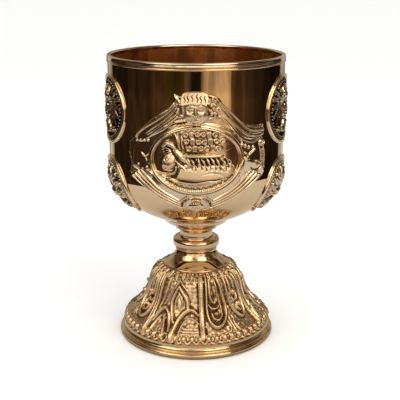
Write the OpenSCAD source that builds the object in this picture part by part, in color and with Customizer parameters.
// Communion chalice: a lined cup with an ornamented outer shell, a turned stem and a bell foot.
// The stack is clamped by one tie rod. The front faces -Y and the base rests on z = 0.

/* [Cup] */
// Outer radius of the cup wall
cup_r = 49.8; // [48:0.1:52]
// Height at which the straight wall rounds into the bottom
shoulder_z = 103; // [101:0.5:105]
// Depth of the rounded bottom below the shoulder
bowl_drop = 33.5; // [33:0.1:34]
// Overall height, measured over the rolled lip
lip_top_z = 166.6; // [164:0.1:170]
// Radius of the roll at the lip
lip_roll = 1.2; // [1:0.1:1.4]
// Thickness of the outer shell
shell_t = 0.9; // [0.7:0.1:1.1]
// Thickness of the inner liner
liner_t = 1; // [0.8:0.1:1.2]

/* [Cartouche] */
// Height of the centre of the oval plaque
oval_z = 116.3; // [115:0.1:118]
// Half-width of the window for the plaque, straight across
oval_half_w = 22.6; // [21:0.1:23]
// Half-height of the window for the plaque
oval_half_h = 16.8; // [16:0.1:17]
// Thickness of the strapwork plate
plate_t = 1.1; // [0.9:0.1:1.4]
// How far the crest, the oval frame and the boss stand off the shell
crest_proud = 2.3; // [2:0.1:2.8]
// Width of the oval frame
frame_w = 1.7; // [1.4:0.1:2]

/* [Medallions] */
// Angle between neighbouring ornaments around the cup
ornament_pitch = 72; // [71:1:73]
// Height of the centres of the upper medallions
upper_z = 138; // [137:0.1:139.5]
// Outer radius of the upper rings
upper_r = 19.4; // [18:0.1:20]
// Angle below the horizontal at which the lower medallions face
lower_t = 18.3; // [17:0.1:19]
// Outer radius of the lower rings
lower_r = 18.4; // [17:0.1:20]
// Width of the polished rings
ring_w = 2.6; // [2:0.1:3]
// How far the rings stand off the shell
ring_proud = 2; // [1.6:0.1:2.3]
// How far the medallions stand off the shell
medal_proud = 1.8; // [1.4:0.1:2.2]

/* [Stem] */
// Radius of the cushion-shaped saucer under the bowl
saucer_r = 20; // [19:0.1:21]
// Smallest radius of the neck
neck_r = 9.7; // [9:0.1:10.5]
// Largest radius of the knop
knop_r = 13.8; // [13:0.1:15]
// Radius of the collar where it meets the foot
collar_r = 19.8; // [19:0.1:20]
// Outer radius of the stem sleeve
sleeve_r = 5.5; // [5:0.1:6]

/* [Foot] */
// Outer radius of the base
foot_r = 46.2; // [45.8:0.1:46.6]
// Height of the flat top of the foot
foot_top_z = 42; // [42:0.1:42.4]
// Thickness of the chased bell
bell_t = 1.2; // [1:0.1:1.3]
// Height of the base moulding
rim_h = 7.4; // [7:0.1:7.6]
// Number of eggs in the gallery
egg_count = 55; // [50:1:60]

/* [Tie rod] */
// Radius of the rod
rod_r = 3; // [2.5:0.1:3]
// Height of the rod's lower end
rod_end_z = 31.5; // [31:0.1:32]
// Width of the nut across its flats
nut_af = 10; // [9:0.5:11]
// Thickness of the nut
nut_h = 5; // [4:0.5:5]

/* [Hidden] */
$fn = 96;

// Film of solder between an applied ornament and the wall, and slip between turned pieces
solder = 0.05;
slip = 0.1;
// Azimuths of the four pairs of medallions, from the front towards +X
right_az = ornament_pitch;
left_az = -ornament_pitch;
back_right_az = 2 * ornament_pitch;
back_left_az = -2 * ornament_pitch;
// Heights of the stacked pieces
knop_z = 52.6;
neck_z = 60.2;
saucer_z = 66;
boss_r = 6.2;
washer_h = 1.5;
nut_z = foot_top_z - bell_t - washer_h - nut_h;
shell_top_z = lip_top_z - 2 * lip_roll - slip;
gold = [0.83, 0.66, 0.40];
pale_gold = [0.90, 0.76, 0.52];
copper_gold = [0.72, 0.45, 0.24];
brass_grey = [0.60, 0.56, 0.46];

// ---- Outlines ----

// Every point moved sideways by d; a path that climbs outwards moves away from the axis
function shifted(path, d) = [
    for (i = [0:len(path) - 1])
        let (
            before = path[max(i - 1, 0)],
            after = path[min(i + 1, len(path) - 1)],
            along = (after - before) / norm(after - before),
            p = path[i] + d * [along[1], -along[0]]
        )
        [max(p[0], 0), p[1]]
];

function backwards(path) = [for (i = [len(path) - 1:-1:0]) path[i]];

// Outside of the cup from radius start_r at the bottom to height top
function cup_path(start_r, top) = concat(
    [
        for (i = [0:18])
            let (a = acos(start_r / cup_r) * (1 - i / 18))
            [cup_r * cos(a), shoulder_z - bowl_drop * sin(a)]
    ],
    [[cup_r, top]]
);

// Quarter turn of an ellipse from angle a0 to a1 about a centre
function arc(centre, rx, rz, a0, a1, steps = 8) = [
    for (i = [0:steps])
        let (a = a0 + (a1 - a0) * i / steps)
        centre + [rx * cos(a), rz * sin(a)]
];

// Outside of the bell, from its seat on the base moulding up to its shoulder
bell_path = [
    [42.2, rim_h], [42, 9.2], [41.2, 11], [39.4, 12.8], [35.6, 16], [32.2, 20], [29.7, 24],
    [28.2, 28], [27, 32], [25.4, 36], [22.6, 39.4], [19.4, foot_top_z]
];

module turned(outline) {
    rotate_extrude()
        polygon(outline);
}

module turned_wall(path, lo, hi) {
    turned(concat(shifted(path, hi), backwards(shifted(path, lo))));
}

// ---- Cup ----

module cup_wall(lo, hi, start_r = 6, top = shell_top_z) {
    turned_wall(cup_path(start_r, top), lo, hi);
}

module cup_liner() {
    outer = -shell_t - slip;
    roll_r = cup_r + outer - 0.9 * liner_t + lip_roll;
    roll_z = lip_top_z - lip_roll;
    color(copper_gold)
        union() {
            cup_wall(outer - liner_t, outer, 0, roll_z);
            rotate_extrude()
                translate([roll_r, roll_z])
                    circle(r = lip_roll);
        }
}

module cup_shell() {
    color(gold)
        cup_wall(-shell_t, 0, boss_r + slip);
}

module lip_wire() {
    wire_r = 0.5;
    color(pale_gold)
        rotate_extrude()
            intersection() {
                translate([cup_r + solder, shell_top_z - 2 * wire_r])
                    circle(r = wire_r);
                translate([cup_r + solder, shell_top_z - 4 * wire_r])
                    square([2 * wire_r, 4 * wire_r]);
            }
}

// ---- Ornament soldered to the shell ----

// A flat outline, x and z, pushed out of the axis towards the front
module front_prism() {
    rotate([90, 0, 0])
        linear_extrude(cup_r + 10)
            children();
}

module oval(half_w, half_h) {
    points = 48;
    polygon([
        for (i = [0:points - 1])
            [half_w * cos(i * 360 / points), oval_z + half_h * sin(i * 360 / points)]
    ]);
}

// The right half of the strapwork, from the top down
strap_outline = [
    [0, 151], [9, 150.5], [14, 146], [22, 139.5], [29, 133.5], [35.2, 131.5], [35.2, 123.5],
    [32.5, 121.5], [35.4, 117], [35, 109], [33, 105.5], [20, 95], [9, 86.5], [0, 84.5]
];

module cartouche_plate() {
    mirrored = [for (p = backwards(strap_outline)) [-p[0], p[1]]];
    color(gold)
        difference() {
            intersection() {
                cup_wall(solder, plate_t);
                front_prism()
                    polygon(concat(strap_outline, mirrored));
            }
            front_prism()
                oval(oval_half_w, oval_half_h);
        }
}

module plaque_bezel() {
    color(pale_gold)
        difference() {
            intersection() {
                cup_wall(plate_t + solder, crest_proud);
                front_prism()
                    oval(oval_half_w + frame_w, oval_half_h + frame_w);
            }
            front_prism()
                oval(oval_half_w, oval_half_h);
        }
}

module lamb_plaque() {
    color(gold)
        intersection() {
            cup_wall(solder, plate_t);
            front_prism()
                oval(oval_half_w - slip, oval_half_h - slip);
        }
}

module crest_mask() {
    chin_z = oval_z + oval_half_h + frame_w + 0.6;
    color(pale_gold)
        intersection() {
            cup_wall(plate_t + solder, crest_proud);
            front_prism()
                polygon([
                    [-5, chin_z], [5, chin_z], [8, chin_z + 5], [11, chin_z + 12],
                    [7, chin_z + 16], [-6, chin_z + 16.5], [-7.5, chin_z + 12], [-7, chin_z + 5]
                ]);
        }
}

// A round tool that reaches through the cup wall where the ellipse angle is t
module wall_drill(t, az, r) {
    wall_r = cup_r * cos(t);
    wall_z = shoulder_z - bowl_drop * sin(t);
    facing_down = atan2(cup_r * sin(t), bowl_drop * cos(t));
    rotate([0, 0, az])
        translate([0, -wall_r, wall_z])
            rotate([90 + facing_down, 0, 0])
                translate([0, 0, -24])
                    cylinder(r = r, h = 36);
}

module pendant_boss() {
    color(pale_gold)
        intersection() {
            cup_wall(plate_t + solder, crest_proud);
            wall_drill(20, 0, 6);
        }
}

module upper_drill(az, r) {
    rotate([0, 0, az])
        translate([0, 0, upper_z])
            rotate([90, 0, 0])
                cylinder(r = r, h = cup_r + 10);
}

module upper_bezel(az) {
    color(pale_gold)
        difference() {
            intersection() {
                cup_wall(solder, ring_proud);
                upper_drill(az, upper_r);
            }
            upper_drill(az, upper_r - ring_w);
        }
}

module upper_medal(az) {
    color(gold)
        intersection() {
            cup_wall(solder, medal_proud);
            upper_drill(az, upper_r - ring_w - slip);
        }
}

module lower_bezel(az) {
    color(pale_gold)
        difference() {
            intersection() {
                cup_wall(solder, ring_proud);
                wall_drill(lower_t, az, lower_r);
            }
            wall_drill(lower_t, az, lower_r - ring_w);
        }
}

module lower_medal(az) {
    color(gold)
        intersection() {
            cup_wall(solder, medal_proud);
            wall_drill(lower_t, az, lower_r - ring_w - slip);
        }
}

// ---- Stem ----

module bowl_saucer() {
    cushion = 7;
    seat = shifted(cup_path(boss_r + slip, shell_top_z), solder);
    under_cup = [for (p = seat) if (p[0] < saucer_r - 1) p];
    rim_z = under_cup[len(under_cup) - 1][1];
    color(gold)
        turned(concat(
            under_cup,
            arc([saucer_r - cushion, rim_z], cushion, rim_z - saucer_z - 0.3, 0, -80),
            [[12.6, saucer_z], [boss_r + slip, saucer_z]]
        ));
}

module neck_spool() {
    bore = sleeve_r + slip / 2;
    waist = 2.6;
    color(gold)
        turned(concat(
            [[bore, neck_z], [11.3, neck_z], [11.3, neck_z + 0.3]],
            arc([neck_r + 1.5, neck_z + 1.6], 1.5, 1.3, 270, 180, 5),
            arc([neck_r + waist, neck_z + 1.8], waist, 3, 180, 110),
            [[12.2, neck_z + 4.9], [12.2, saucer_z], [bore, saucer_z]]
        ));
}

module knop() {
    bore = sleeve_r + slip / 2;
    half_h = (neck_z - knop_z) / 2;
    bulge = 3;
    color(gold)
        turned(concat(
            [[bore, knop_z]],
            arc([knop_r - bulge, knop_z + half_h], bulge, half_h, -90, 90, 16),
            [[bore, neck_z]]
        ));
}

module stem_collar() {
    bore = sleeve_r + slip / 2;
    lip = 0.6;
    throat_r = 11.8;
    flare_r = collar_r - throat_r;
    flare_z = foot_top_z + 2 * lip;
    throat_z = knop_z - 1;
    color(gold)
        turned(concat(
            [[bore, foot_top_z], [collar_r - lip, foot_top_z]],
            arc([collar_r - lip, foot_top_z + lip], lip, lip, -90, 90, 6),
            [
                [throat_r + 0.78 * flare_r, flare_z + 0.10 * (throat_z - flare_z)],
                [throat_r + 0.52 * flare_r, flare_z + 0.30 * (throat_z - flare_z)],
                [throat_r + 0.26 * flare_r, flare_z + 0.58 * (throat_z - flare_z)],
                [throat_r + 0.08 * flare_r, flare_z + 0.83 * (throat_z - flare_z)],
                [throat_r, throat_z],
                [throat_r + 0.6, throat_z + 0.2],
                [throat_r + 0.6, knop_z],
                [bore, knop_z]
            ]
        ));
}

// ---- Foot ----

module leaf_band() {
    band_path = [for (p = bell_path) if (p[1] > 39) p];
    color(pale_gold)
        turned_wall(band_path, solder, 0.8);
}

module foot_shell() {
    inside = [for (p = shifted(bell_path, -bell_t)) if (p[1] < foot_top_z - bell_t) p];
    bore = rod_r + 2 * slip;
    color(gold)
        turned(concat(
            bell_path,
            [[bore, foot_top_z], [bore, foot_top_z - bell_t]],
            backwards(inside)
        ));
}

module egg_gallery() {
    egg_r = 1.25;
    path = [for (p = bell_path) if (p[1] < 12) p];
    color(pale_gold)
        union() {
            turned_wall(path, solder, 0.7);
            for (i = [0:egg_count - 1])
                rotate([0, 0, (i + 0.5) * 360 / egg_count])
                    translate([0, -42.3, rim_h + 2])
                        sphere(r = egg_r, $fn = 24);
        }
}

module foot_rim() {
    bell_seat_r = bell_path[0][0];
    inner_r = bell_seat_r - bell_t - 0.4;
    color(gold)
        turned(concat(
            [[inner_r, rim_h], [inner_r + 2, 0], [foot_r - 0.2, 0]],
            arc([foot_r - 0.6, 0.6], 0.6, 0.5, -60, 60, 4),
            [[foot_r - 0.5, 1.3]],
            arc([foot_r - 1, 2.3], 1, 0.9, -60, 80, 6),
            [[foot_r - 1.4, 3.5], [foot_r - 1.4, 3.9]],
            arc([foot_r - 1.7, 4.3], 0.5, 0.4, -60, 60, 4),
            [[foot_r - 1.9, 4.9], [foot_r - 2.3, 5.6], [foot_r - 2.9, 6.3], [43.2, 6.9], [43, rim_h]]
        ));
}

// ---- Hidden joinery ----

module cup_boss() {
    color(brass_grey)
        difference() {
            translate([0, 0, saucer_z])
                cylinder(r = boss_r, h = 5.2);
            cup_wall(-shell_t - slip - liner_t, -shell_t - slip + solder, 0);
            translate([0, 0, saucer_z - 1])
                cylinder(r = rod_r, h = 4.6);
        }
}

module tie_rod() {
    color(brass_grey)
        translate([0, 0, rod_end_z])
            cylinder(r = rod_r, h = saucer_z + 3.5 - rod_end_z);
}

module stem_tube() {
    color(brass_grey)
        difference() {
            translate([0, 0, foot_top_z])
                cylinder(r = sleeve_r, h = saucer_z - foot_top_z);
            translate([0, 0, foot_top_z - 1])
                cylinder(r = rod_r + 2 * slip, h = saucer_z - foot_top_z + 2);
        }
}

module retaining_washer() {
    washer_r = 15;
    color(brass_grey)
        difference() {
            translate([0, 0, nut_z + nut_h])
                cylinder(r = washer_r, h = washer_h);
            translate([0, 0, nut_z])
                cylinder(r = rod_r + 2 * slip, h = nut_h + washer_h + 1);
        }
}

module hex_nut() {
    color(brass_grey)
        difference() {
            translate([0, 0, nut_z])
                cylinder(d = nut_af / cos(30), h = nut_h, $fn = 6);
            translate([0, 0, nut_z - 1])
                cylinder(r = rod_r, h = nut_h + 2);
        }
}

cup_liner();
cup_shell();
lip_wire();
cartouche_plate();
plaque_bezel();
lamb_plaque();
crest_mask();
pendant_boss();
upper_bezel(right_az);  // upper_bezel_right
upper_bezel(left_az);  // upper_bezel_left
upper_bezel(back_right_az);  // upper_bezel_back_right
upper_bezel(back_left_az);  // upper_bezel_back_left
upper_medal(right_az);  // upper_medal_right
upper_medal(left_az);  // upper_medal_left
upper_medal(back_right_az);  // upper_medal_back_right
upper_medal(back_left_az);  // upper_medal_back_left
lower_bezel(right_az);  // lower_bezel_right
lower_bezel(left_az);  // lower_bezel_left
lower_bezel(back_right_az);  // lower_bezel_back_right
lower_bezel(back_left_az);  // lower_bezel_back_left
lower_medal(right_az);  // lower_medal_right
lower_medal(left_az);  // lower_medal_left
lower_medal(back_right_az);  // lower_medal_back_right
lower_medal(back_left_az);  // lower_medal_back_left
bowl_saucer();
neck_spool();
knop();
stem_collar();
leaf_band();
foot_shell();
egg_gallery();
foot_rim();
cup_boss();
tie_rod();
stem_tube();
retaining_washer();
hex_nut();
